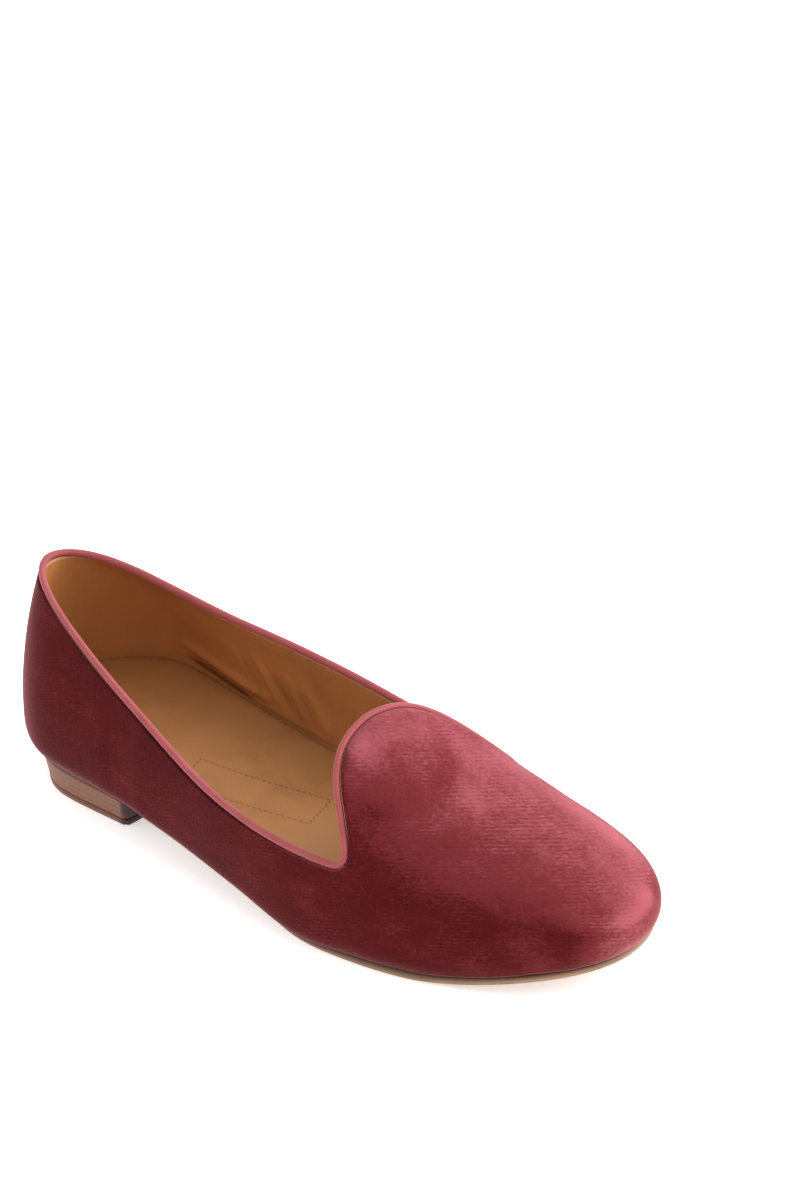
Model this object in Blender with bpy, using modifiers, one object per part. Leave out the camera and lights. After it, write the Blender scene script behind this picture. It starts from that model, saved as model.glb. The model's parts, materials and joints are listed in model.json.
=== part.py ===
"""A velvet slip-on loafer for the right foot, standing on its sole.

The toe points along +X, the medial side is +Y and the floor is at z = 0. Every piece follows one last:
its half widths, centre line, underside and ridge are smooth curves through one short table.
"""

import math
from collections import namedtuple

import bpy
from mathutils import Vector

# The shoe's own sizes, in metres
LENGTH = 0.252
BALL_WIDTH = 0.084
INSTEP_HEIGHT = 0.076
BACK_HEIGHT = 0.0662
HEEL_HEIGHT = 0.0114
TOE_SPRING = 0.0097
HEEL_RADIUS = 0.032
TOE_RADIUS = 0.072
TOE_NOSE = 0.029
BACK_LEAN = 0.0010
BULGE_HEIGHT = 0.036

# The upper's wall, and how it tucks in under its widest level
WALL = 0.0020
TUCK = 0.0040
TUCK_RISE = 0.0090

# The collar: where its notches lie, how far the vamp's lobe reaches back, and its binding
LATERAL_NOTCH = 0.1725
MEDIAL_NOTCH = 0.1785
LOBE_LENGTH = 0.0206
NOTCH_REACH = 0.0045
BINDING_HEIGHT = 0.0022
BINDING_WIDTH = 0.0025

# The bottom
OUTSOLE_THICKNESS = 0.0024
SOLE_MARGIN = 0.0014
SOLE_ROUND = 0.0006
INSOLE_THICKNESS = 0.0070
INSOLE_ROUND = 0.0009
BREAST = 0.0645
BREAST_RAKE = 0.0015
HEEL_INSET = 0.0003
HEEL_TAPER = 0.0012
HEEL_RAKE = 0.0012
LIFT_THICKNESS = 0.0022

# The space left where one piece meets another
GAP = 0.0003
INSOLE_GAP = 0.0010
BINDING_GAP = 0.0006

# The last's form: squareness of its ends in plan, and of its sections across and up
END_POWER = 2.1
NOSE_POWER = 2.0
SECTION_ACROSS = 2.3
TUCK_POWER = 3.5
LEAN_REACH = 0.28

# Mesh steps: columns on each side, rows up the wall, points on the binding's section. Columns stand upright
# as far as the fan's start, a share of the way to the notch, and then fan out round the toe.
QUARTER_COLUMNS = 26
FAN_COLUMNS = 26
ROWS = 17
FIRST_ROW = 0.0028
BINDING_SIDES = 8
HEEL_COLUMNS = 14
TURN_WEIGHT = 0.008
FAN_START = 0.80
FAN_EVEN = 0.85

# Along: share of the length. Lateral, medial and centre: shares of the ball width. Ridge: share of the
# height that it follows, the back's over the quarters and the instep's over the vamp, as quarter tells from
# 1 to 0. Heel and toe: shares of the heel height and the toe spring under the sole. Sole: share of the
# outsole's thickness. Tuck: share of the wall's tuck. Edge: how far the outsole reaches past the upper's
# lower edge, as a share of its margin.
Section = namedtuple("Section", "along lateral medial centre ridge quarter heel toe sole tuck edge")
SECTIONS = (
    Section(0.00, 0.338, 0.428, 0.018, 1.055, 1.00, 1.000, 0.00, 0.75, 0.85, -1.0),
    Section(0.12, 0.412, 0.436, -0.001, 0.992, 1.00, 0.990, 0.00, 0.75, 0.90, -0.6),
    Section(0.25, 0.424, 0.415, -0.017, 1.019, 1.00, 0.900, 0.00, 0.72, 1.25, -0.7),
    Section(0.38, 0.456, 0.408, -0.007, 1.108, 1.00, 0.585, 0.00, 0.60, 1.60, -1.0),
    Section(0.50, 0.508, 0.419, 0.000, 1.069, 0.50, 0.380, 0.00, 0.60, 1.20, -0.9),
    Section(0.62, 0.545, 0.449, 0.012, 0.872, 0.00, 0.040, 0.00, 0.75, 0.65, -0.3),
    Section(0.70, 0.534, 0.471, 0.035, 0.704, 0.00, 0.000, 0.00, 0.95, 0.70, 0.5),
    Section(0.78, 0.514, 0.489, 0.060, 0.575, 0.00, 0.000, 0.00, 1.00, 0.65, 0.5),
    Section(0.84, 0.495, 0.496, 0.075, 0.516, 0.00, 0.000, 0.19, 1.00, 0.60, 0.5),
    Section(0.93, 0.464, 0.485, 0.094, 0.430, 0.00, 0.000, 0.66, 1.00, 0.45, 0.5),
    Section(1.00, 0.449, 0.470, 0.088, 0.353, 0.00, 0.000, 1.00, 1.00, 1.00, 0.0),
)

# Along: share of the way from the back to each side's notch. Lateral and medial: shares of the back height.
Topline = namedtuple("Topline", "along lateral medial")
TOPLINE = (
    Topline(0.00, 1.000, 1.000),
    Topline(0.15, 0.925, 0.919),
    Topline(0.30, 0.841, 0.855),
    Topline(0.45, 0.740, 0.813),
    Topline(0.60, 0.616, 0.765),
    Topline(0.75, 0.549, 0.691),
    Topline(0.90, 0.519, 0.616),
    Topline(1.00, 0.494, 0.582),
)

# Across: share of the way over the vamp, from the lateral notch to the medial one. Back: share of the
# lobe's length that its edge lies behind the line between the notches.
Lobe = namedtuple("Lobe", "across back")
LOBE = (
    Lobe(0.0, 0.000),
    Lobe(0.1, 0.250),
    Lobe(0.2, 0.605),
    Lobe(0.3, 0.865),
    Lobe(0.4, 0.965),
    Lobe(0.5, 1.000),
    Lobe(0.6, 0.925),
    Lobe(0.7, 0.775),
    Lobe(0.8, 0.560),
    Lobe(0.9, 0.290),
    Lobe(1.0, 0.000),
)

LATERAL, MEDIAL = -1, 1


def curve_through(rows, column):
    """A smooth function through one column of a table, over the table's first column."""
    at = [row[0] for row in rows]
    values = [getattr(row, column) for row in rows]
    steps = [(values[i + 1] - values[i]) / (at[i + 1] - at[i]) for i in range(len(at) - 1)]
    slopes = [steps[0]]
    for i in range(1, len(at) - 1):
        before, after = at[i] - at[i - 1], at[i + 1] - at[i]
        slopes.append((steps[i - 1] * after + steps[i] * before) / (before + after))
    slopes.append(steps[-1])

    def value(x):
        x = min(max(x, at[0]), at[-1])
        i = max(k for k in range(len(at) - 1) if at[k] <= x)
        width = at[i + 1] - at[i]
        t = (x - at[i]) / width
        start = values[i] * (1 + 2 * t) + slopes[i] * width * t
        end = values[i + 1] * (3 - 2 * t) - slopes[i + 1] * width * (1 - t)
        return start * (1 - t) ** 2 + end * t**2

    return value


LATERAL_WIDTH = curve_through(SECTIONS, "lateral")
MEDIAL_WIDTH = curve_through(SECTIONS, "medial")
CENTRE = curve_through(SECTIONS, "centre")
RIDGE = curve_through(SECTIONS, "ridge")
QUARTER = curve_through(SECTIONS, "quarter")
HEEL_RISE = curve_through(SECTIONS, "heel")
TOE_RISE = curve_through(SECTIONS, "toe")
SOLE_SHARE = curve_through(SECTIONS, "sole")
TUCK_SHARE = curve_through(SECTIONS, "tuck")
SOLE_EDGE = curve_through(SECTIONS, "edge")
LATERAL_TOP = curve_through(TOPLINE, "lateral")
MEDIAL_TOP = curve_through(TOPLINE, "medial")
LOBE_BACK = curve_through(LOBE, "back")


def round_end(distance, radius, power):
    """1 at the radius and further in, falling to 0 at the end as a rounded corner does."""
    k = min(max(distance / radius, 0.0), 1.0)
    return (1 - (1 - k) ** power) ** (1 / power)


def half_width(x, side):
    share = LATERAL_WIDTH(x / LENGTH) if side == LATERAL else MEDIAL_WIDTH(x / LENGTH)
    ends = round_end(x, HEEL_RADIUS, END_POWER) * round_end(LENGTH - x, TOE_RADIUS, END_POWER)
    return BALL_WIDTH * share * ends


def centre_line(x):
    return BALL_WIDTH * CENTRE(x / LENGTH)


def underside(x):
    """Height of the outsole's underside: heel seat, arch, the flat tread and the toe spring."""
    along = x / LENGTH
    heel = max(HEEL_RISE(along), 0.0) * HEEL_HEIGHT
    return heel + max(TOE_RISE(along), 0.0) * TOE_SPRING


def sole_top(x):
    """Height of the outsole's upper face: the sole is thinner in the waist and under the heel."""
    return underside(x) + OUTSOLE_THICKNESS * SOLE_SHARE(x / LENGTH)


def feather(x):
    """Height of the upper's lower edge, just clear of the outsole."""
    return sole_top(x) + GAP


def widest(x):
    return feather(x) + TUCK_RISE


def tucked_in(x, rise):
    """How far inside the widest outline the wall's face lies, this high over the lower edge."""
    return TUCK * TUCK_SHARE(x / LENGTH) * (1 - rise / TUCK_RISE) ** TUCK_POWER


def ridge_rise(x):
    """From the widest level up to the ridge, rounded down at the toe."""
    quarter = min(max(QUARTER(x / LENGTH), 0.0), 1.0)
    height = BACK_HEIGHT * quarter + INSTEP_HEIGHT * (1 - quarter)
    full = height * RIDGE(x / LENGTH) - widest(x)
    return full * round_end(LENGTH - x, TOE_NOSE, NOSE_POWER)


def leaned(x, y, z):
    """The back of the heel leans forward above its bulge."""
    fade = max(0.0, 1 - x / (LENGTH * LEAN_REACH)) ** 2
    rise = max(0.0, (z - BULGE_HEIGHT) / (BACK_HEIGHT - BULGE_HEIGHT))
    return Vector((x + BACK_LEAN * fade * rise**2, y, z))


def over_last(x, turn):
    """A point of the upper's face. Turn goes from 0 at the lateral widest level to pi at the medial one."""
    side = LATERAL if turn < math.pi / 2 else MEDIAL
    across = abs(math.cos(turn)) ** (2 / SECTION_ACROSS)
    y = centre_line(x) + side * half_width(x, side) * across
    return leaned(x, y, widest(x) + ridge_rise(x) * math.sin(turn))


def over_plan(x, y):
    """A point of the upper's face above a point of its plan, inside the widest outline."""
    side = LATERAL if y < centre_line(x) else MEDIAL
    across = min(abs(y - centre_line(x)) / max(half_width(x, side), 1e-6), 1.0)
    return leaned(x, y, widest(x) + ridge_rise(x) * math.sqrt(1 - across**SECTION_ACROSS))


def turn_at_height(x, z, side):
    turn = math.asin(min(max((z - widest(x)) / ridge_rise(x), 0.0), 1.0))
    return turn if side == LATERAL else math.pi - turn


def lengths_along(points):
    total = [0.0]
    for a, b in zip(points, points[1:]):
        total.append(total[-1] + (Vector(b) - Vector(a)).length)
    return total


def point_along(points, lengths, distance):
    """The point at this distance along a run of points."""
    distance = min(max(distance, 0.0), lengths[-1])
    i = max(k for k in range(len(lengths) - 1) if lengths[k] <= distance)
    step = lengths[i + 1] - lengths[i]
    share = (distance - lengths[i]) / step if step else 0.0
    return Vector(points[i]).lerp(Vector(points[i + 1]), share)


def spread(points, shares):
    lengths = lengths_along(points)
    return [point_along(points, lengths, share * lengths[-1]) for share in shares]


def widest_outline(side, steps=160):
    """The upper's widest outline in plan, from the back to the toe's tip."""
    outline = []
    for i in range(steps + 1):
        x = LENGTH * (1 - math.cos(math.pi * i / steps)) / 2
        outline.append(Vector((x, centre_line(x) + side * half_width(x, side))))
    return outline


def moved_in(outline, side, inset):
    """A side's outline moved in, square to itself. Inset is a length, or a function of x."""
    moved = []
    for i, point in enumerate(outline):
        if i == 0:
            inward = Vector((1.0, 0.0))
        elif i == len(outline) - 1:
            inward = Vector((-1.0, 0.0))
        else:
            along = (outline[i + 1] - outline[i - 1]).normalized()
            inward = Vector((along.y * side, -along.x * side))
        moved.append(point + inward * (inset(point.x) if callable(inset) else inset))
    return moved


def collar_chart(side):
    """One side's topline as (x, turn), from the back to the lobe's middle, with its notch rounded."""
    notch = LATERAL_NOTCH if side == LATERAL else MEDIAL_NOTCH
    top = LATERAL_TOP if side == LATERAL else MEDIAL_TOP
    chart = []
    for i in range(121):
        x = notch * i / 120
        chart.append(Vector((x, turn_at_height(x, BACK_HEIGHT * top(i / 120), side))))
    first = turn_at_height(LATERAL_NOTCH, BACK_HEIGHT * LATERAL_TOP(1), LATERAL)
    last = turn_at_height(MEDIAL_NOTCH, BACK_HEIGHT * MEDIAL_TOP(1), MEDIAL)
    for i in range(1, 61):
        across = i / 120 if side == LATERAL else 1 - i / 120
        x = LATERAL_NOTCH + (MEDIAL_NOTCH - LATERAL_NOTCH) * across - LOBE_LENGTH * LOBE_BACK(across)
        chart.append(Vector((x, first + (last - first) * across)))
    return rounded(chart)


def rounded(chart):
    """The same line with its corner rounded: each point is the mean of those within the notch's reach."""
    lengths = lengths_along([over_last(*point) for point in chart])
    count = math.ceil(lengths[-1] / (NOTCH_REACH / 8))
    even = [point_along(chart, lengths, lengths[-1] * i / count) for i in range(count + 1)]
    smooth = []
    for i in range(count + 1):
        near = min(8, i, count - i)
        window = even[i - near : i + near + 1]
        smooth.append(sum(window, Vector((0.0, 0.0))) / len(window))
    return smooth


def fan_stations(chart, start):
    """The fanned columns' tops, from a place on the topline to the lobe's middle, closer where it turns."""
    tops = [over_last(*point) for point in chart]
    weights = [0.0]
    for i in range(1, len(tops)):
        step = tops[i] - tops[i - 1]
        turning = step.angle(tops[i + 1] - tops[i]) if i < len(tops) - 1 else 0.0
        weights.append(weights[-1] + step.length + TURN_WEIGHT * turning)
    first = next(weight for point, weight in zip(chart, weights) if point.x > start)
    rest = weights[-1] - first
    return [point_along(chart, weights, first + rest * i / FAN_COLUMNS) for i in range(FAN_COLUMNS + 1)]


def tucked(outline, lengths, distance, side):
    """The wall under the widest level, from the lower edge up."""
    point = point_along(outline, lengths, distance)
    ahead = point_along(outline, lengths, distance + 1e-4)
    behind = point_along(outline, lengths, distance - 1e-4)
    along = (ahead - behind).normalized()
    if distance < 1e-5 or distance > lengths[-1] - 1e-5:
        along = Vector((0.0, side if distance < 1e-5 else -side))
    inward = Vector((along.y * side, -along.x * side))
    run = []
    for i in range(7):
        rise = TUCK_RISE * i / 7
        plan = point + inward * tucked_in(point.x, rise)
        base = feather(plan.x) + (feather(point.x) - feather(plan.x)) * rise / TUCK_RISE
        run.append(Vector((plan.x, plan.y, base + rise)))
    return point, run


def wall_run(foot, top, steps=28):
    """The wall above the widest level, from a column's foot up to a point of the chart."""
    x, turn = top
    side = LATERAL if turn < math.pi / 2 else MEDIAL
    if abs(foot.x - x) < 1e-6:
        start = 0.0 if side == LATERAL else math.pi
        return [over_last(x, start + (turn - start) * i / steps) for i in range(steps + 1)]
    across = abs(math.cos(turn)) ** (2 / SECTION_ACROSS)
    end = Vector((x, centre_line(x) + side * half_width(x, side) * across))
    run = []
    for i in range(steps + 1):
        plan = foot.lerp(end, 1 - math.cos(math.pi / 2 * i / steps))
        run.append(over_plan(plan.x, plan.y))
    return run


# A column of the wall: its foot on the widest outline, the run of points below that, its top as a point of
# the chart, and whether it is one of those that fan out round the toe.
Column = namedtuple("Column", "foot low top fans")


def wall_columns(side):
    """One side's columns, from the back to the toe's tip."""
    outline = widest_outline(side)
    lengths = lengths_along(outline)
    notch = LATERAL_NOTCH if side == LATERAL else MEDIAL_NOTCH
    top_height = LATERAL_TOP if side == LATERAL else MEDIAL_TOP
    start = FAN_START * notch
    fan = next(length for point, length in zip(outline, lengths) if point.x > start)
    columns = []
    for i in range(QUARTER_COLUMNS):
        distance = fan * i / QUARTER_COLUMNS
        foot, low = tucked(outline, lengths, distance, side)
        turn = turn_at_height(foot.x, BACK_HEIGHT * top_height(foot.x / notch), side)
        columns.append(Column(foot, low, Vector((foot.x, turn)), False))
    for i, top in enumerate(fan_stations(collar_chart(side), point_along(outline, lengths, fan).x)):
        share = i / FAN_COLUMNS
        distance = fan + (lengths[-1] - fan) * (FAN_EVEN * share + (1 - FAN_EVEN) * share**2)
        foot, low = tucked(outline, lengths, distance, side)
        columns.append(Column(foot, low, top, True))
    return columns


def loop_of(lateral, medial):
    """Both sides as one loop: the lateral side to the toe, then the medial side back."""
    return lateral + medial[-2:0:-1]


# A point of the topline, the way out of the wall there, and the way up to the edge along the wall.
Frame = namedtuple("Frame", "point outward upward")


def collar_frames(columns):
    tops = [over_last(*column.top) for column in columns]
    frames = []
    for i, column in enumerate(columns):
        x, turn = column.top
        along = (tops[(i + 1) % len(tops)] - tops[i - 1]).normalized()
        if column.fans:
            forward = over_last(x + 1e-4, turn) - over_last(x - 1e-4, turn)
            outward = forward.cross(over_last(x, turn + 1e-3) - over_last(x, turn - 1e-3))
        else:
            outward = along.cross(tops[i] - wall_run(column.foot, column.top)[-3])
        outward = (outward - along * outward.dot(along)).normalized()
        frames.append(Frame(tops[i], outward, outward.cross(along)))
    return frames


def lowered(column, frame, drop):
    """A fanned column's top moved down the wall, square to the topline, as a point of the chart."""
    point = frame.point - frame.upward * drop
    side = LATERAL if point.y < centre_line(point.x) else MEDIAL
    up = (point.z - widest(point.x)) / ridge_rise(point.x)
    across = abs(point.y - centre_line(point.x)) / half_width(point.x, side)
    turn = math.atan2(up, across ** (SECTION_ACROSS / 2))
    return Vector((point.x, turn if side == LATERAL else math.pi - turn))


def edge_run(column, frame, drop):
    """The column from the lower edge up to the wall's edge, this far under the topline."""
    if column.fans:
        return column.low + wall_run(column.foot, lowered(column, frame, drop))
    run = column.low + wall_run(column.foot, column.top)
    lengths = lengths_along(run)
    climb = (run[-1] - run[-3]).normalized().dot(frame.upward)
    end = lengths[-1] - drop / climb
    return [point for point, length in zip(run, lengths) if length < end] + [point_along(run, lengths, end)]


def rows_of(run):
    """The column's mesh points: close together at the lower edge, then further apart on a long column."""
    lengths = lengths_along(run)
    first = min(FIRST_ROW * ROWS, lengths[-1])
    return [
        point_along(run, lengths, first * row / ROWS + (lengths[-1] - first) * (row / ROWS) ** 2)
        for row in range(ROWS + 1)
    ]


def new_object(name, mesh, material, collection):
    obj = bpy.data.objects.new(name, mesh)
    mesh.materials.append(material)
    mesh.shade_smooth()
    mesh.set_sharp_from_angle(angle=math.radians(40))
    collection.objects.link(obj)
    return obj


def mesh_of(name, points, faces):
    mesh = bpy.data.meshes.new(name)
    mesh.from_pydata([tuple(point) for point in points], [], faces)
    mesh.validate()
    return mesh


def make_material(name, colour, roughness, metallic=0.0):
    material = bpy.data.materials.new(name)
    material.use_nodes = True
    shader = material.node_tree.nodes["Principled BSDF"]
    shader.inputs["Base Color"].default_value = (*colour, 1.0)
    shader.inputs["Roughness"].default_value = roughness
    shader.inputs["Metallic"].default_value = metallic
    return material


def make_upper(columns, frames, material, collection):
    """The hollow shell: an open face over the last, thickened inwards."""
    points, faces = [], []
    for column, frame in zip(columns, frames):
        points += rows_of(edge_run(column, frame, BINDING_HEIGHT + BINDING_GAP))
    count = len(columns)
    for i in range(count):
        a, b = i * (ROWS + 1), (i + 1) % count * (ROWS + 1)
        faces += [(a + r, b + r, b + r + 1, a + r + 1) for r in range(ROWS)]
    upper = new_object("upper", mesh_of("upper", points, faces), material, collection)
    shell = upper.modifiers.new("wall", "SOLIDIFY")
    shell.thickness = WALL
    shell.offset = -1
    shell.use_even_offset = True
    return upper


def make_binding(frames, material, collection):
    """A rolled edge along the whole topline, on the upper's trimmed edge."""
    points, faces = [], []
    for point, outward, upward in frames:
        middle = point - upward * BINDING_HEIGHT / 2 - outward * WALL / 2
        for k in range(BINDING_SIDES):
            angle = 2 * math.pi * (k + 0.5) / BINDING_SIDES
            out = outward * math.cos(angle) * BINDING_WIDTH / 2
            points.append(middle + out + upward * math.sin(angle) * BINDING_HEIGHT / 2)
    count = len(frames)
    for i in range(count):
        a, b = i * BINDING_SIDES, (i + 1) % count * BINDING_SIDES
        for k in range(BINDING_SIDES):
            n = (k + 1) % BINDING_SIDES
            faces.append((a + k, b + k, b + n, a + n))
    mesh = mesh_of("topline_binding", points, faces)
    return new_object("topline_binding", mesh, material, collection)


def ring(inset, height, columns=40):
    """A closed outline inside the widest one. Inset and height may be functions of x."""
    sides = []
    for side in (LATERAL, MEDIAL):
        outline = moved_in(widest_outline(side), side, inset)
        plan = spread(outline, [i / columns for i in range(columns + 1)])
        sides.append([Vector((p.x, p.y, height(p.x) if callable(height) else height)) for p in plan])
    return loop_of(*sides)


def heel_ring(inset, height, breast):
    """A closed D round the heel, cut straight across at the breast."""
    sides = []
    for side in (LATERAL, MEDIAL):
        outline = moved_in(widest_outline(side), side, inset)
        kept = [point for point in outline if point.x < breast]
        after = outline[len(kept)]
        share = (breast - kept[-1].x) / (after.x - kept[-1].x)
        kept.append(kept[-1].lerp(after, share))
        plan = spread(kept, [i / HEEL_COLUMNS for i in range(HEEL_COLUMNS + 1)])
        sides.append([Vector((p.x, p.y, height(p.x) if callable(height) else height)) for p in plan])
    lateral, medial = sides
    return lateral + medial[:0:-1]


def make_slab(name, rings, joined_toe, material, collection):
    """A solid from outlines stacked upwards, closed under the first and over the last by strips across."""
    count = len(rings[0])
    points = [point for outline in rings for point in outline]
    faces = []
    for level in range(len(rings) - 1):
        low, high = level * count, (level + 1) * count
        for i in range(count):
            n = (i + 1) % count
            faces.append((low + i, low + n, high + n, high + i))
    half = count // 2
    top = (len(rings) - 1) * count
    strips = [(0, 1, count - 1)]
    strips += [(i, i + 1, count - i - 1, count - i) for i in range(1, half - 1 if joined_toe else half)]
    if joined_toe:
        strips.append((half - 1, half, half + 1))
    for strip in strips:
        faces.append(tuple(top + i for i in strip))
        faces.append(tuple(reversed(strip)))
    return new_object(name, mesh_of(name, points, faces), material, collection)


def sole_inset(x):
    """From the widest outline in to the outsole's edge."""
    return tucked_in(x, 0.0) - SOLE_MARGIN * SOLE_EDGE(x / LENGTH)


def make_outsole(material, collection):
    rings = [
        ring(lambda x: sole_inset(x) + SOLE_ROUND, underside),
        ring(sole_inset, lambda x: underside(x) + SOLE_ROUND),
        ring(sole_inset, sole_top),
    ]
    return make_slab("outsole", rings, True, material, collection)


def insole_inset(rise):
    """The insole's inset, this high over the upper's lower edge: just clear of the wall's inner face."""

    def inset(x):
        slope = (tucked_in(x, rise) - tucked_in(x, rise + WALL / 10)) / (WALL / 10)
        return tucked_in(x, rise) + WALL * math.hypot(1, slope) + INSOLE_GAP

    return inset


def make_insole(material, collection):
    """A padded insole that follows the wall's inner face and rests just clear of the outsole."""

    def level(rise):
        return lambda x: feather(x) + rise

    shoulder = INSOLE_THICKNESS - INSOLE_ROUND
    rings = [ring(insole_inset(rise), level(rise)) for rise in (0.0, shoulder / 2, shoulder)]
    top = insole_inset(shoulder)
    rings.append(ring(lambda x: top(x) + INSOLE_ROUND, level(INSOLE_THICKNESS)))
    return make_slab("insole", rings, True, material, collection)


def heel_foot_inset(x):
    """The heel tapers a little all round, and more at its back."""
    return sole_inset(x) + HEEL_INSET + HEEL_TAPER + HEEL_RAKE * max(0.0, 1 - x / HEEL_RADIUS)


def make_heel(material, collection):
    """The block under the seat, tapering a little to the lift."""
    low = LIFT_THICKNESS + GAP
    rings = [
        heel_ring(heel_foot_inset, low, BREAST),
        heel_ring(lambda x: sole_inset(x) + HEEL_INSET, lambda x: underside(x) - GAP, BREAST + BREAST_RAKE),
    ]
    return make_slab("heel", rings, False, material, collection)


def make_heel_lift(material, collection):
    rings = [heel_ring(heel_foot_inset, height, BREAST) for height in (0.0, LIFT_THICKNESS)]
    return make_slab("heel_lift", rings, False, material, collection)


def stand_on_origin(objects):
    """Moves every piece by the same step, so that the whole stands centred over the origin."""
    bpy.context.view_layer.update()
    graph = bpy.context.evaluated_depsgraph_get()
    corners = []
    for obj in objects:
        made = obj.evaluated_get(graph)
        corners += [made.matrix_world @ vertex.co for vertex in made.data.vertices]
    middle = [(min(c[k] for c in corners) + max(c[k] for c in corners)) / 2 for k in (0, 1)]
    for obj in objects:
        obj.location = (-middle[0], -middle[1], 0.0)


def main():
    for obj in list(bpy.data.objects):
        bpy.data.objects.remove(obj, do_unlink=True)
    collection = bpy.data.collections.new("loafer")
    bpy.context.scene.collection.children.link(collection)

    velvet = make_material("velvet", (0.18, 0.02, 0.03), 0.9)
    binding = make_material("binding_fabric", (0.45, 0.12, 0.15), 0.7)
    sock = make_material("sock_leather", (0.42, 0.22, 0.09), 0.55)
    sole = make_material("sole_leather", (0.38, 0.24, 0.13), 0.5)
    stack = make_material("heel_stack", (0.22, 0.12, 0.08), 0.5)
    top_piece = make_material("top_piece", (0.08, 0.06, 0.05), 0.7)

    columns = loop_of(wall_columns(LATERAL), wall_columns(MEDIAL))
    frames = collar_frames(columns)
    pieces = [
        make_upper(columns, frames, velvet, collection),
        make_binding(frames, binding, collection),
        make_insole(sock, collection),
        make_outsole(sole, collection),
        make_heel(stack, collection),
        make_heel_lift(top_piece, collection),
    ]
    stand_on_origin(pieces)


if __name__ == "__main__":
    main()
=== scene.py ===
"""Looks for the velvet slip-on loafer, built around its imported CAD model.

The toe points along +X, the medial side is +Y and the floor is at z = 0. Each operator makes one piece of
the shoe, or the stage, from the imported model's own surfaces, and can be run from the sidebar's panel.
"""

import json
import math
from bisect import bisect_left

import bmesh
import bpy
from bpy.props import FloatProperty, FloatVectorProperty, IntProperty, PointerProperty
from mathutils import Matrix, Vector, noise

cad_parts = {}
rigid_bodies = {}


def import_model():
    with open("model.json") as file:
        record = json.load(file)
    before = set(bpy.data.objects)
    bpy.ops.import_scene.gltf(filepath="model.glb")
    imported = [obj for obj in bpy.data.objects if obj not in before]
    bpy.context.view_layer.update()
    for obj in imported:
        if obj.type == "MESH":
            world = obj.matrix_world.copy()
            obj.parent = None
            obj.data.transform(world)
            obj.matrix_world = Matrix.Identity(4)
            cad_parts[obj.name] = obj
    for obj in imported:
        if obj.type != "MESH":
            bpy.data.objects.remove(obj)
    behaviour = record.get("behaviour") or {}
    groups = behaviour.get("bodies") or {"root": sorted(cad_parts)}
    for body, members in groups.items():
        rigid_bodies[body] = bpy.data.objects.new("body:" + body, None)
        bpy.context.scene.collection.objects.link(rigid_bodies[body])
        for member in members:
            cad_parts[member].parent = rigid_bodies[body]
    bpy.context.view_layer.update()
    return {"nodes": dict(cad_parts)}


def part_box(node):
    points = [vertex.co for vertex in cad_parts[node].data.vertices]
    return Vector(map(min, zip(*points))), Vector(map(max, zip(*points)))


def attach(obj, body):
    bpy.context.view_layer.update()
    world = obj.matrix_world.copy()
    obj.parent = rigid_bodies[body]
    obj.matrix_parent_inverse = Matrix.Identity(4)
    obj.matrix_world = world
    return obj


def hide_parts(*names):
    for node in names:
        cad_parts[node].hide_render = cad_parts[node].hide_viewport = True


bl_info = {
    "name": "Velvet Loafer",
    "version": (1, 0, 0),
    "blender": (4, 5, 0),
    "location": "3D Viewport > Sidebar > Loafer",
    "description": "Dresses a velvet slip-on loafer and sets its stage",
    "category": "Object",
}

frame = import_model()

MM = 0.001
BODY = "root"
LATERAL, MEDIAL = -1, 1

# The line down the middle of the shoe's inside. Faces that look away from it are the outer ones.
CORE_BACK = Vector((-0.092, 0.0, 0.032))
CORE_FRONT = Vector((0.086, 0.004, 0.017))

# Every edge of the upper above this height belongs to the collar, in metres.
COLLAR_LOW = 20 * MM

# How flat and how square two triangles have to be to make a quad, and where the upper's faces part.
PAIR_FLATNESS = math.radians(40)
PAIR_SHAPE = math.radians(60)
SKIN_EDGE = math.radians(55)

# How often the small pieces' faces are split, and from which angle the sole's and the heel's edges stay
# crisp.
SMALL_STEPS = 2
SOLE_EDGE = math.radians(35)
HEEL_EDGE = math.radians(50)

# Meshes


def copy_of(node):
    """A loose copy of a CAD node's mesh with its doubles merged and its triangles paired into quads."""
    bm = bmesh.new()
    bm.from_mesh(frame["nodes"][node].data)
    bmesh.ops.remove_doubles(bm, verts=bm.verts, dist=1e-6)
    bmesh.ops.join_triangles(
        bm,
        faces=bm.faces,
        angle_face_threshold=PAIR_FLATNESS,
        angle_shape_threshold=PAIR_SHAPE,
        cmp_seam=False,
        cmp_sharp=False,
        cmp_uvs=False,
        cmp_vcols=False,
        cmp_materials=False,
    )
    for face in bm.faces:
        face.smooth = True
    return bm


def skins_of(bm):
    """The faces of a walled shell in groups that its sharp edges part, the largest first."""
    left = set(bm.faces)
    groups = []
    while left:
        group = set()
        edge = [left.pop()]
        while edge:
            face = edge.pop()
            group.add(face)
            for link in face.edges:
                if len(link.link_faces) == 2 and link.calc_face_angle(0.0) < SKIN_EDGE:
                    other = link.link_faces[0] if link.link_faces[1] is face else link.link_faces[1]
                    if other in left:
                        left.discard(other)
                        edge.append(other)
        groups.append(group)
    return sorted(groups, key=lambda g: -sum(f.calc_area() for f in g))


def looks_out(face):
    """Whether a face of the upper looks away from the middle of the shoe."""
    middle = face.calc_center_median()
    along = (middle.x - CORE_BACK.x) / (CORE_FRONT.x - CORE_BACK.x)
    core = CORE_BACK.lerp(CORE_FRONT, min(max(along, 0.0), 1.0))
    return face.normal.dot(middle - core) > 0


def keep_only(bm, faces):
    """Deletes every other face."""
    gone = [face for face in bm.faces if face not in faces]
    bmesh.ops.delete(bm, geom=gone, context="FACES")


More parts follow.
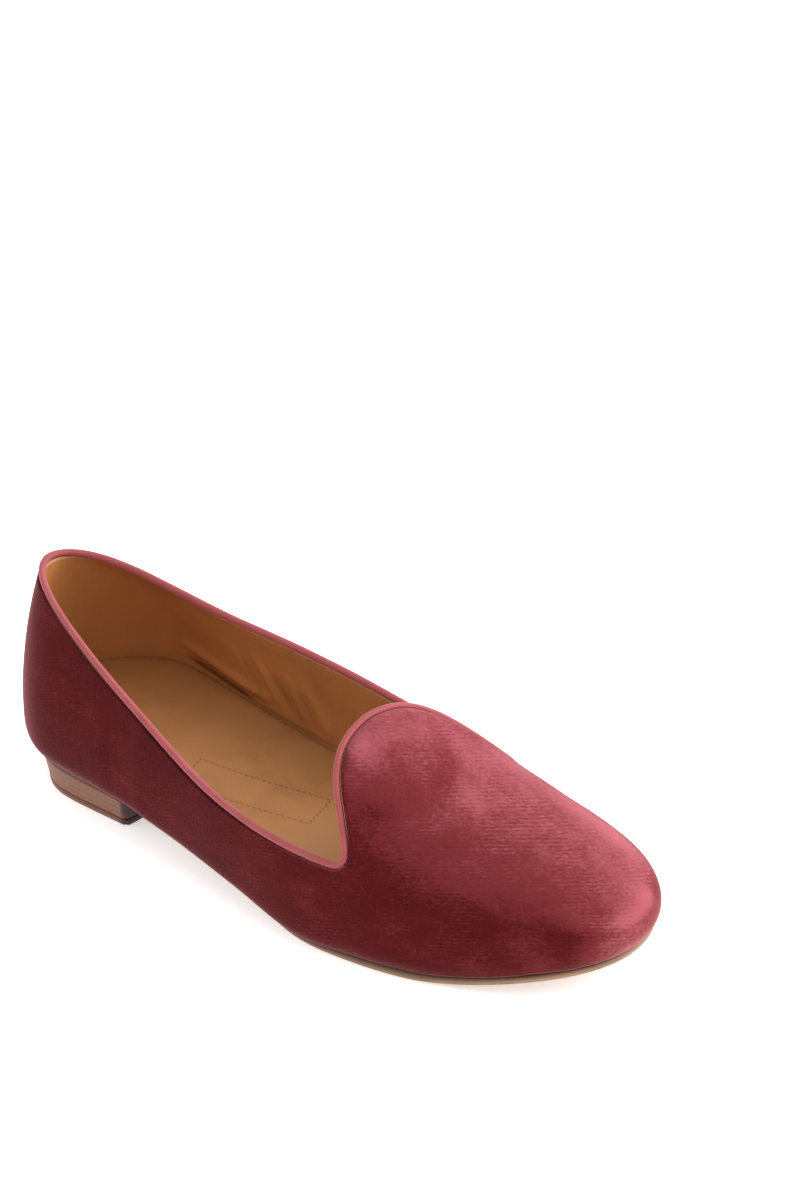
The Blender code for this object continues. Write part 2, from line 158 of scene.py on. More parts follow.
def upper_skin(name, outer):
    """The upper's outer or inner face alone."""
    bm = copy_of("upper")
    bm.normal_update()
    for group in skins_of(bm)[:2]:
        out = sum(1 if looks_out(face) else -1 for face in group) > 0
        if out == outer:
            keep_only(bm, group)
            return bm
    raise RuntimeError(f"{name}: the upper's {'outer' if outer else 'inner'} face wasn't found")


def subdivided(bm, levels, name):
    """The same form with each quad split, as a subdivision surface smooths it."""
    mesh = bpy.data.meshes.new(name)
    bm.to_mesh(mesh)
    bm.free()
    obj = bpy.data.objects.new(name, mesh)
    bpy.context.scene.collection.objects.link(obj)
    surface = obj.modifiers.new("smooth", "SUBSURF")
    surface.levels = surface.render_levels = levels
    surface.boundary_smooth = "ALL"
    apply_modifiers(obj)
    return obj


def apply_modifiers(obj):
    """Puts the mesh that the modifiers make in the place of the object's own."""
    bpy.context.view_layer.update()
    graph = bpy.context.evaluated_depsgraph_get()
    made = bpy.data.meshes.new_from_object(obj.evaluated_get(graph), depsgraph=graph)
    old = obj.data
    obj.modifiers.clear()
    obj.data = made
    bpy.data.meshes.remove(old)


def add_wall(obj, thickness):
    """Gives an open face a wall, on the side that its normals point away from."""
    wall = obj.modifiers.new("wall", "SOLIDIFY")
    wall.thickness = thickness
    wall.offset = -1
    wall.use_even_offset = False
    apply_modifiers(obj)


def creased(bm, angle, crease):
    """Marks the edges that stay crisp when the form is smoothed."""
    layer = bm.edges.layers.float.get("crease_edge") or bm.edges.layers.float.new("crease_edge")
    for edge in bm.edges:
        if len(edge.link_faces) == 2 and edge.calc_face_angle(0.0) > angle:
            edge[layer] = crease


def reach_binding(obj, distance):
    """Carries an open face on past its collar edge, so that it meets the binding."""
    bm = bmesh.new()
    bm.from_mesh(obj.data)
    moves = []
    for vertex in bm.verts:
        if vertex.is_boundary and vertex.co.z > COLLAR_LOW:
            inner = [edge.other_vert(vertex) for edge in vertex.link_edges if not edge.is_boundary]
            out = sum((vertex.co - other.co for other in inner), Vector())
            moves.append((vertex, out.normalized() * distance))
    for vertex, move in moves:
        vertex.co += move
    bm.to_mesh(obj.data)
    bm.free()


def set_attribute(obj, name, values):
    """Stores a number on each vertex, for the material to read."""
    attribute = obj.data.attributes.get(name) or obj.data.attributes.new(name, "FLOAT", "POINT")
    attribute.data.foreach_set("value", values)


def points_and_normals(obj):
    """Each vertex with its place in millimetres and a copy of its normal."""
    return [(vertex, vertex.co / MM, vertex.normal.copy()) for vertex in obj.data.vertices]


def finish_piece(obj, name, slot, material, *nodes):
    """Names and paints a piece, attaches it to the body it rides with and hides the nodes it stands for.
    """
    obj.name = name
    obj.data.name = name
    obj.data.materials.clear()
    obj.data.materials.append(material)
    obj.data.shade_smooth()
    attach(obj, BODY)
    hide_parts(*nodes)


def soft_step(value, low, high):
    """0 below one value, 1 above the other and a smooth rise between them."""
    t = min(max((value - low) / (high - low), 0.0), 1.0)
    return t * t * (3 - 2 * t)


def rim_of(node):
    """The upper rim of a flat-topped node in millimetres, its lateral and its medial side, sorted by x."""
    bm = copy_of(node)
    bm.normal_update()
    top = sorted((v.co / MM for v in bm.verts if v.normal.z > 0.3), key=lambda p: p.x)
    bm.free()
    middle = sum(p.y for p in top) / len(top)
    return [p for p in top if p.y < middle], [p for p in top if p.y >= middle]


def at_x(points, x):
    """The point of a line that is sorted by x, at this x."""
    i = min(max(bisect_left([p.x for p in points], x), 1), len(points) - 1)
    a, b = points[i - 1], points[i]
    return a.lerp(b, min(max((x - a.x) / max(b.x - a.x, 1e-6), 0.0), 1.0))


# Materials


class Nodes:
    """Short names for wiring a material's nodes."""

    def __init__(self, name):
        self.material = bpy.data.materials.new(name)
        self.material.use_nodes = True
        self.tree = self.material.node_tree
        self.shader = self.tree.nodes["Principled BSDF"]
        self.count = 0

    def add(self, kind, inputs=(), **settings):
        node = self.tree.nodes.new(kind)
        self.count += 1
        node.location = (-220 * (self.count % 8) - 250, 260 * (self.count // 8))
        for key, value in settings.items():
            setattr(node, key, value)
        for key, value in dict(inputs).items():
            self.feed(node.inputs[key], value)
        return node

    def feed(self, socket, value):
        if isinstance(value, bpy.types.NodeSocket):
            self.tree.links.new(value, socket)
        elif socket.type == "RGBA" and len(value) == 3:
            socket.default_value = (*value, 1.0)
        else:
            socket.default_value = value

    def coords(self, scale=(1.0, 1.0, 1.0), turn=(0.0, 0.0, 0.0), shift=(0.0, 0.0, 0.0)):
        source = self.add("ShaderNodeTexCoord").outputs["Object"]
        inputs = {"Vector": source, "Scale": scale, "Rotation": turn, "Location": shift}
        return self.add("ShaderNodeMapping", inputs).outputs["Vector"]

    def uv(self):
        return self.add("ShaderNodeUVMap", uv_map="along").outputs["UV"]

    def attribute(self, name):
        return self.add("ShaderNodeAttribute", attribute_name=name).outputs["Fac"]

    def noise(self, vector, scale, detail=3.0, roughness=0.55, distortion=0.0):
        inputs = {"Vector": vector, "Scale": scale, "Detail": detail, "Roughness": roughness}
        inputs["Distortion"] = distortion
        return self.add("ShaderNodeTexNoise", inputs).outputs["Fac"]

    def waves(self, vector, scale, distortion=0.0, detail_scale=1.0):
        inputs = {"Vector": vector, "Scale": scale, "Distortion": distortion, "Detail Scale": detail_scale}
        return self.add("ShaderNodeTexWave", inputs, bands_direction="X").outputs["Fac"]

    def cells(self, vector, scale):
        return self.add("ShaderNodeTexVoronoi", {"Vector": vector, "Scale": scale}).outputs["Distance"]

    def along(self, vector, direction, scale):
        """How far a point lies along a direction, times a scale."""
        inputs = {0: vector, 1: tuple(c * scale for c in direction)}
        return self.add("ShaderNodeVectorMath", inputs, operation="DOT_PRODUCT").outputs["Value"]

    def joined(self, x, y, z):
        return self.add("ShaderNodeCombineXYZ", {"X": x, "Y": y, "Z": z}).outputs["Vector"]

    def ramp(self, value, *stops):
        node = self.add("ShaderNodeValToRGB", {"Fac": value})
        ramp = node.color_ramp
        ramp.interpolation = "EASE"
        while len(ramp.elements) < len(stops):
            ramp.elements.new(0.5)
        for element, (at, colour) in zip(ramp.elements, stops):
            element.position = at
            element.color = (*colour, 1.0) if hasattr(colour, "__len__") else (colour, colour, colour, 1.0)
        return node.outputs["Color"]

    def math(self, operation, *values):
        return self.add("ShaderNodeMath", dict(enumerate(values)), operation=operation).outputs[0]

    def sum(self, *parts):
        """The sum of values that are each given with their weight."""
        total = None
        for value, weight in parts:
            part = self.math("MULTIPLY", value, weight)
            total = part if total is None else self.math("ADD", total, part)
        return total

    def mix(self, share, a, b):
        node = self.add("ShaderNodeMix", data_type="RGBA")
        for name, value in (("Factor", share), ("A", a), ("B", b)):
            kind = "VALUE" if name == "Factor" else "RGBA"
            self.feed(next(s for s in node.inputs if s.name == name and s.type == kind), value)
        return next(s for s in node.outputs if s.type == "RGBA")

    def bump(self, height, distance, strength=1.0):
        inputs = {"Height": height, "Strength": strength, "Distance": distance}
        return self.add("ShaderNodeBump", inputs).outputs["Normal"]

    def finish(self, colour, roughness, normal, **constants):
        self.feed(self.shader.inputs["Base Color"], colour)
        self.feed(self.shader.inputs["Roughness"], roughness)
        if normal is not None:
            self.feed(self.shader.inputs["Normal"], normal)
        for name, value in constants.items():
            self.shader.inputs[name.replace("_", " ")].default_value = value
        return self.material


def shaded(colour, factor):
    """A colour made darker or lighter."""
    return tuple(min(c * factor, 1.0) for c in colour)


def blended(colour, other, share):
    """A colour with a share of another in it."""
    return tuple(a + (b - a) * share for a, b in zip(colour, other))


# The velvet's weft runs on the bias: rows lie along the first direction and follow each other along the
# second. Pitch and dash are in metres.
WEFT_ALONG = (0.72, 0.69, -0.04)
WEFT_ACROSS = (-0.31, 0.37, 0.88)
WEFT_DEEP = (0.62, -0.62, 0.48)
WEFT_PITCH = 0.00115
WEFT_DASH = 0.0020


def velvet_material(colour, brushed_and_lit_colour, sheen_colour):
    """Cotton velvet: a mottled pile, broken rows of weft that show through it, and a pale sheen. The pile
    is painted lighter towards the brushed colour by its nap, which also holds painted light on the vamp's
    top and painted sheen along its edges.
    """
    n = Nodes("burgundy_velvet")
    place = n.coords()
    cloud = n.noise(place, 30, detail=2.0, roughness=0.5)
    brushed = n.noise(n.coords(scale=(0.5, 1.0, 1.5), turn=(0.3, 0.2, 0.5)), 110, detail=3, roughness=0.6)
    pile = n.noise(place, 2400, detail=2, roughness=0.7)
    tufts = n.noise(place, 800, detail=2, roughness=0.6)

    wander = n.noise(place, 90, detail=2)
    turn = n.sum((n.along(place, WEFT_ACROSS, 1.0), math.tau / WEFT_PITCH), (wander, 5.0))
    rows = n.math("SINE", turn)
    weft = n.joined(
        n.along(place, WEFT_ALONG, 1 / WEFT_DASH),
        n.along(place, WEFT_ACROSS, 2 / WEFT_PITCH),
        n.along(place, WEFT_DEEP, 1 / WEFT_PITCH),
    )
    dashes = n.noise(weft, 1.0, detail=2, roughness=0.6)
    open_pile = n.ramp(n.noise(place, 55, detail=3, roughness=0.6), (0.40, 0.12), (0.64, 1.0))
    row_share = n.math("MULTIPLY", rows, open_pile)
    dash_share = n.math("MULTIPLY", n.math("SUBTRACT", dashes, 0.5), n.math("ADD", open_pile, 0.35))
    specks = n.ramp(n.noise(place, 1150, detail=1.0, roughness=0.5), (0.66, 0.0), (0.74, 1.0))

    tone = n.sum(
        (cloud, 0.40),
        (brushed, 0.22),
        (tufts, 0.18),
        # The nap holds painted light on the vamp's top and painted sheen at its edges.
        (n.attribute("nap"), 0.50),
        (dash_share, 0.24),
        (row_share, 0.035),
    )
    base = n.ramp(
        tone,
        (0.285, shaded(colour, 0.62)),
        (0.425, colour),
        (0.625, blended(shaded(colour, 1.5), brushed_and_lit_colour, 0.15)),
        (0.920, brushed_and_lit_colour),
        (1.000, shaded(brushed_and_lit_colour, 1.2)),
    )
    base = n.mix(n.sum((specks, 0.14)), base, brushed_and_lit_colour)
    height = n.sum((row_share, 0.10), (dashes, 0.55), (tufts, 0.35), (pile, 0.35))
    return n.finish(
        base,
        0.95,
        n.bump(height, 0.0003, 0.7),
        Sheen_Weight=0.46,
        Sheen_Roughness=0.34,
        Sheen_Tint=(*sheen_colour, 1.0),
        Specular_IOR_Level=0.05,
    )


def binding_material(colour, seam_shade_colour):
    """Ribbed tape rolled over the edge, with painted shade between its ribs, and a darker seam at each
    side that is partly painted shade where the roll sits on the upper.
    """
    n = Nodes("rose_binding_tape")
    ribs = n.waves(n.uv(), 480, distortion=0.6, detail_scale=2.0)
    fibre = n.noise(n.coords(), 2200, detail=2)
    slub = n.noise(n.coords(), 160, detail=2)
    base = n.ramp(
        n.sum((slub, 0.6), (fibre, 0.4)),
        (0.3, shaded(colour, 0.84)),
        (0.55, colour),
        (0.8, shaded(colour, 1.14)),
    )
    # Painted shade in the grooves between the ribs.
    base = n.mix(n.math("MULTIPLY", n.math("SUBTRACT", 1.0, ribs), 0.14), base, shaded(colour, 0.5))
    # A dark seam, partly painted shade where the roll sits on the upper.
    base = n.mix(n.attribute("seam_and_shade"), base, seam_shade_colour)
    return n.finish(
        base,
        0.7,
        n.bump(n.sum((ribs, 0.4), (fibre, 0.5)), 0.00012, 0.7),
        Sheen_Weight=0.35,
        Sheen_Roughness=0.4,
        Sheen_Tint=(1.0, 0.74, 0.76, 1.0),
        Specular_IOR_Level=0.25,
    )


def leather_base(n, colour, shade_and_line_colour):
    """The tan leather's colour, roughness and height: fine pores, soft stains and rubbed patches."""
    place = n.coords()
    cloud = n.noise(place, 24, detail=3, roughness=0.5)
    stains = n.noise(n.coords(shift=(3.1, 1.7, 0.4)), 65, detail=4, roughness=0.6, distortion=0.5)
    pores = n.cells(place, 1500)
    wrinkle = n.noise(n.coords(scale=(1.0, 1.0, 0.4)), 260, detail=4, roughness=0.6, distortion=0.8)
    base = n.ramp(
        n.sum((cloud, 0.6), (stains, 0.4)),
        (0.28, shaded(colour, 0.74)),
        (0.48, colour),
        (0.68, shaded(colour, 1.12)),
        (0.85, shaded(colour, 1.24)),
    )
    # Painted shade in the folds, the creases and along the sock's edge.
    base = n.mix(n.attribute("fold_shade"), base, shade_and_line_colour)
    pits = n.math("MULTIPLY", n.ramp(pores, (0.0, 1.0), (0.22, 0.0)), 0.30)
    base = n.mix(pits, base, shaded(colour, 0.5))
    rough = n.ramp(stains, (0.3, 0.44), (0.7, 0.60))
    return base, rough, n.sum((pores, 0.25), (wrinkle, 0.75))


def lining_material(colour, shade_and_line_colour):
    """The leather that lines the upper."""
    n = Nodes("tan_lining_leather")
    base, rough, height = leather_base(n, colour, shade_and_line_colour)
    return n.finish(base, rough, n.bump(height, 0.00018, 0.5), Specular_IOR_Level=0.4)


# The bare panel impressed in the sock: its middle, half length and half width, how far it is turned, and
# the width and dashes of its line, in metres and radians.
PANEL_MIDDLE = (-0.0270, -0.0045)
PANEL_HALF = (0.0235, 0.0075)
PANEL_TURN = math.radians(17)
PANEL_LINE = 0.00042
PANEL_DASH = 0.0021


def panel_line(n):
    """1 on the panel's dashed outline and 0 off it."""
    cos, sin = math.cos(PANEL_TURN), math.sin(PANEL_TURN)
    x, y = PANEL_MIDDLE
    shift = (-(cos * x + sin * y), -(cos * y - sin * x), 0.0)
    split = n.add("ShaderNodeSeparateXYZ", {0: n.coords(turn=(0.0, 0.0, -PANEL_TURN), shift=shift)})
    along, across = split.outputs["X"], split.outputs["Y"]
    beyond = [
        n.math("SUBTRACT", n.math("ABSOLUTE", place), half)
        for place, half in zip((along, across), PANEL_HALF)
    ]
    near = n.math("ABSOLUTE", n.math("MAXIMUM", *beyond))
    line = n.ramp(n.math("DIVIDE", near, PANEL_LINE), (0.45, 1.0), (1.0, 0.0))
    dash = n.math("SINE", n.sum((along, math.tau / PANEL_DASH), (across, math.tau / PANEL_DASH)))
    return n.math("MULTIPLY", line, n.ramp(dash, (0.0, 0.15), (0.25, 1.0)))


def sock_material(colour, shade_and_line_colour):
    """The lining's leather again, with the impressed panel."""
    n = Nodes("tan_sock_leather")
    base, rough, height = leather_base(n, colour, shade_and_line_colour)
    line = panel_line(n)
    base = n.mix(n.math("MULTIPLY", line, 0.55), base, shade_and_line_colour)
    height = n.math("SUBTRACT", height, line)
    return n.finish(base, rough, n.bump(height, 0.00018, 0.5), Specular_IOR_Level=0.4)


def sole_material(colour, burnish_and_shade_colour):
    """Waxed leather: a burnished edge with fine layers, dark at the waist and with painted shade along its
    top, and a plain grain underneath with scuffs.
    """
    n = Nodes("waxed_sole_leather")
    place = n.coords()
    layers = n.noise(n.coords(scale=(0.06, 0.06, 1.0)), 2600, detail=3)
    cloud = n.noise(place, 60, detail=4, roughness=0.6)
    grain = n.noise(place, 1400, detail=3, roughness=0.6)
    scuffs = n.noise(n.coords(scale=(1.0, 0.12, 1.0), turn=(0.0, 0.0, 0.35)), 420, detail=4)
    scuffed = n.math("MULTIPLY", n.ramp(scuffs, (0.58, 0.0), (0.7, 1.0)), 0.30)
    base = n.ramp(
        n.sum((cloud, 0.55), (layers, 0.45)),
        (0.3, shaded(colour, 0.6)),
        (0.5, colour),
        (0.75, shaded(colour, 1.22)),
    )
    base = n.mix(scuffed, base, shaded(colour, 0.55))
    # The burnished waist, partly painted shade, and painted shadow along the edge's top under the velvet.
    base = n.mix(n.attribute("waist_burnish_and_shade"), base, burnish_and_shade_colour)
    rough = n.ramp(cloud, (0.3, 0.36), (0.7, 0.55))
    return n.finish(base, rough, n.bump(n.sum((grain, 0.5), (layers, 0.5)), 0.00012, 0.5))


def heel_material(name, colour, breast_colour):
    """Brown layers with faint joins, and a darker breast: the stacked heel's look and its top piece's."""
    n = Nodes(name)
    layers = n.noise(n.coords(scale=(0.05, 0.05, 1.0)), 1900, detail=3)
    cloud = n.noise(n.coords(), 75, detail=4, roughness=0.6)
    fibre = n.noise(n.coords(scale=(0.25, 0.25, 1.0)), 2200, detail=3)
    base = n.ramp(
        n.sum((cloud, 0.5), (layers, 0.5)),
        (0.3, shaded(colour, 0.78)),
        (0.5, colour),
        (0.75, shaded(colour, 1.18)),
    )
    base = n.mix(n.math("MULTIPLY", n.attribute("join"), 0.22), base, shaded(colour, 0.4))
    base = n.mix(n.attribute("breast"), base, breast_colour)
    rough = n.ramp(cloud, (0.3, 0.42), (0.7, 0.58))
    return n.finish(base, rough, n.bump(fibre, 0.00012, 0.5))


# The velvet

# Where the pile is lighter or darker, as brushed nap and, along the far side's and the toe's edges, as
# painted sheen: x and y of the middle, reach along and across, in millimetres, and the share by which the
# pile is painted lighter.
NAP_AND_SHEEN_PATCHES = (
    (36, -3, 10, 20, 0.24),
    (35, -17, 8, 6, 0.36),
    (41, -28, 6, 6, 0.20),
    (55, -26, 6, 5, -0.10),
    (66, -33, 14, 5, 0.06),
    (50, 12, 16, 11, 0.28),
    (45, -1, 7, 6, 0.10),
    (51, -7, 7, 6, 0.08),
    (65, 0, 9, 7, 0.26),
    (86, -3, 10, 9, 0.16),
    # The next three, along the far side's edge: painted sheen.
    (57, 26, 16, 8, 0.30),
    (90, 30, 18, 7, 0.32),
    (104, 30, 9, 7, 0.26),
    (90, 14, 12, 7, 0.20),
    # The next two, at the toe's edge and nose: painted sheen.
    (121, 19, 5, 7, 0.46),
    (125, 6, 4, 9, 0.72),
    (124, -6, 4, 8, 0.60),
    (121, -10, 5, 5, 0.30),
    (112, -20, 10, 6, 0.28),
    (56, 2, 7, 6, -0.08),
    (102, -12, 13, 7, -0.20),
    (117, -3, 5, 5, -0.14),
    (-40, 34, 30, 8, 0.10),
)

# Soft troughs in the velvet: start and end in plan, half width and depth, in millimetres.
VELVET_TROUGHS = (
    ((50, -34), (62, -6), 7, 0.35),
    ((60, -38), (80, -16), 8, 0.30),
    ((76, -20), (82, 12), 6, 0.30),
    ((54, 34), (70, 8), 8, 0.28),
    ((104, -22), (112, 6), 5, 0.25),
    ((-62, -36), (-48, -34), 9, 0.35),
    ((-58, 34), (-40, 33), 9, 0.35),
)

# The vamp's top is painted lighter by this share, as painted light from above. It comes in between these
# heights of the face's normal, and between these places along x in millimetres.
TOP_LIGHT_SHARE = 0.62
TOP_LIGHT_NORMAL = (0.48, 0.96)
TOP_LIGHT_START = (6, 30)

# How far the velvet goes on under the binding, in metres.
VELVET_REACH = 0.25 * MM


def ridge_share(point, start, end, reach):
    """1 on a soft ridge's line and 0 beyond its half width or past its ends."""
    a, b = Vector(start), Vector(end)
    line = b - a
    t = (point - a).dot(line) / line.length_squared
    across = (point - a - line * min(max(t, 0.0), 1.0)).length / reach
    if across > 2.5:
        return 0.0
    fade = soft_step(t, -0.15, 0.25) * (1 - soft_step(t, 0.75, 1.15))
    return math.exp(-across * across * 1.6) * fade


def make_velvet(settings):
    """The velvet: the upper's outer face with a wall of its own, soft troughs, and a brushed nap with
    painted light on the vamp's top and painted sheen at its edges.
    """
    obj = subdivided(upper_skin("velvet_upper", True), settings.smoothing, "velvet_upper")
    for vertex, place, normal in points_and_normals(obj):
        plan = place.xy
        sunk = sum(depth * ridge_share(plan, a, b, reach) for a, b, reach, depth in VELVET_TROUGHS)
        sunk += 0.12 * (noise.noise(place * 0.06) - 0.1)
        vertex.co -= normal * max(sunk, 0.0) * MM
    reach_binding(obj, VELVET_REACH)
    add_wall(obj, settings.velvet_thickness)
    naps_and_painted_light = []
    for _, place, normal in points_and_normals(obj):
        # Painted light: the vamp's top is painted lighter where its face looks up.
        nap = TOP_LIGHT_SHARE * soft_step(normal.z, *TOP_LIGHT_NORMAL) * soft_step(place.x, *TOP_LIGHT_START)
        for x, y, along, across, share in NAP_AND_SHEEN_PATCHES:
            nap += share * math.exp(-(((place.x - x) / along) ** 2) - ((place.y - y) / across) ** 2)
        naps_and_painted_light.append(nap)
    set_attribute(obj, "nap", naps_and_painted_light)
    material = velvet_material(settings.velvet_colour, settings.brushed_and_lit_colour, settings.sheen_colour)
    finish_piece(obj, "velvet_upper", "velvet", material, "upper")


# The lining

# Wrinkles in the lining's walls: the side, x and z of both ends, half width and height, in millimetres.
LINING_WRINKLES = (
    (MEDIAL, (-98, 27), (-54, 23), 2.4, 1.15),
    (MEDIAL, (-71, 39), (-60, 24), 2.6, 0.55),
    (MEDIAL, (-59, 38), (-50, 22), 2.0, 1.05),
    (MEDIAL, (-45, 36), (-39, 20), 1.8, 0.95),
    (MEDIAL, (-37, 34), (-28, 18), 2.2, 0.80),
    (MEDIAL, (-14, 34), (-2, 20), 2.4, 0.45),
    (LATERAL, (-50, 38), (-34, 24), 2.2, 0.55),
    (LATERAL, (-14, 32), (2, 20), 2.0, 0.45),
    (LATERAL, (-86, 34), (-64, 26), 2.4, 0.50),
)

# Painted shade in the lining, in the folds and along the crease below the lining's bulge, given as above
# with a share of darkness.
LINING_FOLD_SHADES = (
    (MEDIAL, (-97, 22.6), (-63, 20.0), 1.2, 1.05),
    (MEDIAL, (-68, 19.8), (-24, 15.2), 1.1, 0.45),
    (MEDIAL, (-66, 36), (-57, 23), 1.6, 0.30),
    (MEDIAL, (-52, 34), (-44, 22), 1.5, 0.30),
    (MEDIAL, (-41, 32), (-34, 19), 1.4, 0.25),
)

# How far the lining goes on under the binding, in metres.
LINING_REACH = 0.5 * MM


def make_lining(settings):
    """The lining, just inside the velvet, with its soft wrinkles, the crease along the sock, and painted
    shade in its folds and along that crease.
    """
    obj = subdivided(upper_skin("leather_lining", False), settings.smoothing, "leather_lining")
    for vertex, place, normal in points_and_normals(obj):
        side = MEDIAL if place.y > 0 else LATERAL
        flat = place.xz
        wrinkles = [wrinkle[1:] for wrinkle in LINING_WRINKLES if wrinkle[0] == side]
        raised = sum(height * ridge_share(flat, a, b, reach) for a, b, reach, height in wrinkles)
        raised += 0.12 * noise.noise(place * 0.09)
        # The inner face's normals point into the shoe.
        vertex.co += normal * max(raised, -0.1) * MM
    reach_binding(obj, LINING_REACH)
    add_wall(obj, settings.lining_thickness)
    fold_shades = []
    for _, place, _ in points_and_normals(obj):
        side = MEDIAL if place.y > 0 else LATERAL
        flat = place.xz
        lines = [line[1:] for line in LINING_FOLD_SHADES if line[0] == side]
        # Painted shade in the folds and along the crease.
        fold_shade = sum(share * ridge_share(flat, a, b, reach) for a, b, reach, share in lines)
        fold_shades.append(min(fold_shade, 0.9))
    set_attribute(obj, "fold_shade", fold_shades)
    material = lining_material(settings.lining_colour, settings.shade_and_line_colour)
    finish_piece(obj, "leather_lining", "sock_leather", material, "upper")


# The binding


def loops_across(bm):
    """The binding's rings in order along it, each a list of its vertices in order around it."""

    def walk(vertex, edge):
        found = [vertex]
        while True:
            vertex = edge.other_vert(vertex)
            if vertex is found[0]:
                return found
            found.append(vertex)
            faces = set(edge.link_faces)
            edge = next(e for e in vertex.link_edges if not faces & set(e.link_faces))

    bm.verts.ensure_lookup_table()
    start = bm.verts[0]
    loops = [walk(start, edge) for edge in start.link_edges]
    sides = min(len(loop) for loop in loops)
    rings = []
    for vertex in max(loops, key=len):
        ring = min((walk(vertex, edge) for edge in vertex.link_edges), key=len)
        if len(ring) != sides:
            raise RuntimeError("the binding's mesh isn't an even tube")
        rings.append(ring)
    # Each ring is walked the same way round as the one before it.
    for before, ring in zip(rings, rings[1:]):
        if (ring[1].co - before[1].co).length > (ring[-1].co - before[1].co).length:
            ring[1:] = ring[:0:-1]
    return rings


# Where the tape's dark seam, partly painted shade where the roll sits on the upper, fades, as shares of
# the way round the roll from its lowest line, how much of its colour it takes, and how far the tape's
# surface waves, in metres.
SEAM_SHADE_FROM = 0.06
SEAM_SHADE_TO = 0.15
SEAM_SHADE_SHARE = 0.5
TAPE_WAVE = 0.05 * MM

# How much larger the roll is made before it is smoothed, which draws it in again.
TAPE_SWELL = 1.12


def make_binding(settings):
    """The rolled tape: the CAD tube made finer, with a dark seam at each side, partly painted shade where
    it sits on the upper, and slight waves.
    """
    bm = copy_of("topline_binding")
    rings = loops_across(bm)
    middles = [sum((v.co for v in ring), Vector()) / len(ring) for ring in rings]
    length = [0.0]
    for a, b in zip(middles, middles[1:] + middles[:1]):
        length.append(length[-1] + (b - a).length)
    for ring, middle in zip(rings, middles):
        for vertex in ring:
            vertex.co = middle + (vertex.co - middle) * TAPE_SWELL
    place = {vertex: (i, k) for i, ring in enumerate(rings) for k, vertex in enumerate(ring)}
    layer = bm.loops.layers.uv.new("along")
    count, sides = len(rings), len(rings[0])
    for face in bm.faces:
        at = [place[loop.vert] for loop in face.loops]
        last = max(i for i, _ in at) - min(i for i, _ in at) > 1
        wraps = max(k for _, k in at) - min(k for _, k in at) > 1
        for loop, (i, k) in zip(face.loops, at):
            u = length[count] if last and i == 0 else length[i]
            loop[layer].uv = (u, (sides if wraps and k == 0 else k) / sides)
    back = min(range(count), key=lambda i: middles[i].x)
    lowest = min(range(sides), key=lambda k: rings[back][k].co.z) / sides

    obj = subdivided(bm, SMALL_STEPS, "collar_binding")
    mesh = obj.data
    uvs = [0.0] * (2 * len(mesh.loops))
    mesh.uv_layers["along"].data.foreach_get("uv", uvs)
    corners = [0] * len(mesh.loops)
    mesh.loops.foreach_get("vertex_index", corners)
    around = {index: (uvs[2 * i], uvs[2 * i + 1]) for i, index in enumerate(corners)}
    seam_and_shade = []
    for vertex, _, normal in points_and_normals(obj):
        u, v = around[vertex.index]
        vertex.co += normal * noise.noise(Vector((u * 120, v * 3, 0.0))) * TAPE_WAVE
        away = abs((v - lowest + 0.5) % 1.0 - 0.5)
        # A dark seam, partly painted shade where the roll sits on the upper.
        seam_and_shade.append(SEAM_SHADE_SHARE * (1 - soft_step(away, SEAM_SHADE_FROM, SEAM_SHADE_TO)))
    set_attribute(obj, "seam_and_shade", seam_and_shade)
    material = binding_material(settings.binding_colour, settings.seam_shade_colour)
    finish_piece(obj, "collar_binding", "binding_fabric", material, "topline_binding")


# The insole, the sole and the heel

# How the sock is pressed in by the foot: x and y of the middle, reach along and across, and depth, in
# millimetres. Its edge is cupped up by SOCK_CUP, and stands out towards the lining by SOCK_REACH.
SOCK_DISHES = (
    (-90, 0, 24, 19, 1.1),
    (46, 2, 28, 27, 0.8),
    (-28, 0, 34, 18, 0.5),
)
SOCK_CUP = 0.5
SOCK_REACH = 0.45


def make_insole(settings):
    """The padded sock: dished under the heel and ball, cupped up a little at its edge, and painted with
    shade along that edge.
    """
    lateral, medial = rim_of("insole")
    bm = copy_of("insole")
    bm.normal_update()
    strips = {edge for face in bm.faces if face.normal.z > 0.8 for edge in face.edges}
    across = [edge for edge in strips if abs(edge.verts[0].co.y - edge.verts[1].co.y) > 12 * MM]
    bmesh.ops.subdivide_edges(bm, edges=across, cuts=5, use_grid_fill=True)
    obj = subdivided(bm, settings.insole_smoothing, "sock_insole")
    fold_shades = []
    for vertex, place, normal in points_and_normals(obj):
        up = soft_step(normal.z, 0.1, 0.8)
        low, high = at_x(lateral, place.x).y, at_x(medial, place.x).y
        edge = min(abs(2 * (place.y - low) / max(high - low, 1.0) - 1), 1.0)
        rise = SOCK_CUP * edge**4
        for x, y, along, across, depth in SOCK_DISHES:
            rise -= depth * math.exp(-(((place.x - x) / along) ** 2) - ((place.y - y) / across) ** 2)
        rise -= 0.15 * (noise.noise(place * 0.05) + 0.3)
        vertex.co.z += up * rise * MM
        vertex.co += Vector((normal.x, normal.y, 0.0)) * SOCK_REACH * MM
        # Painted shade along the sock's edge, where it meets the lining.
        fold_shades.append(0.10 * edge**6)
    set_attribute(obj, "fold_shade", fold_shades)
    material = sock_material(settings.sock_colour, settings.shade_and_line_colour)
    finish_piece(obj, "sock_insole", "sock_leather", material, "insole")


# The sole's edge is burnished dark behind the first of these places along x, in millimetres, which is
# partly painted shade under the velvet's bulge. In front of the second only its upper part is darkened, by
# the share on the third line below and fading out between the depths on the second line under its top, as
# painted shadow under the velvet.
WAIST_DARK = (8, 42)
EDGE_SHADE_DEPTHS = (0.7, 1.4)
EDGE_SHADE_SHARE = 0.6


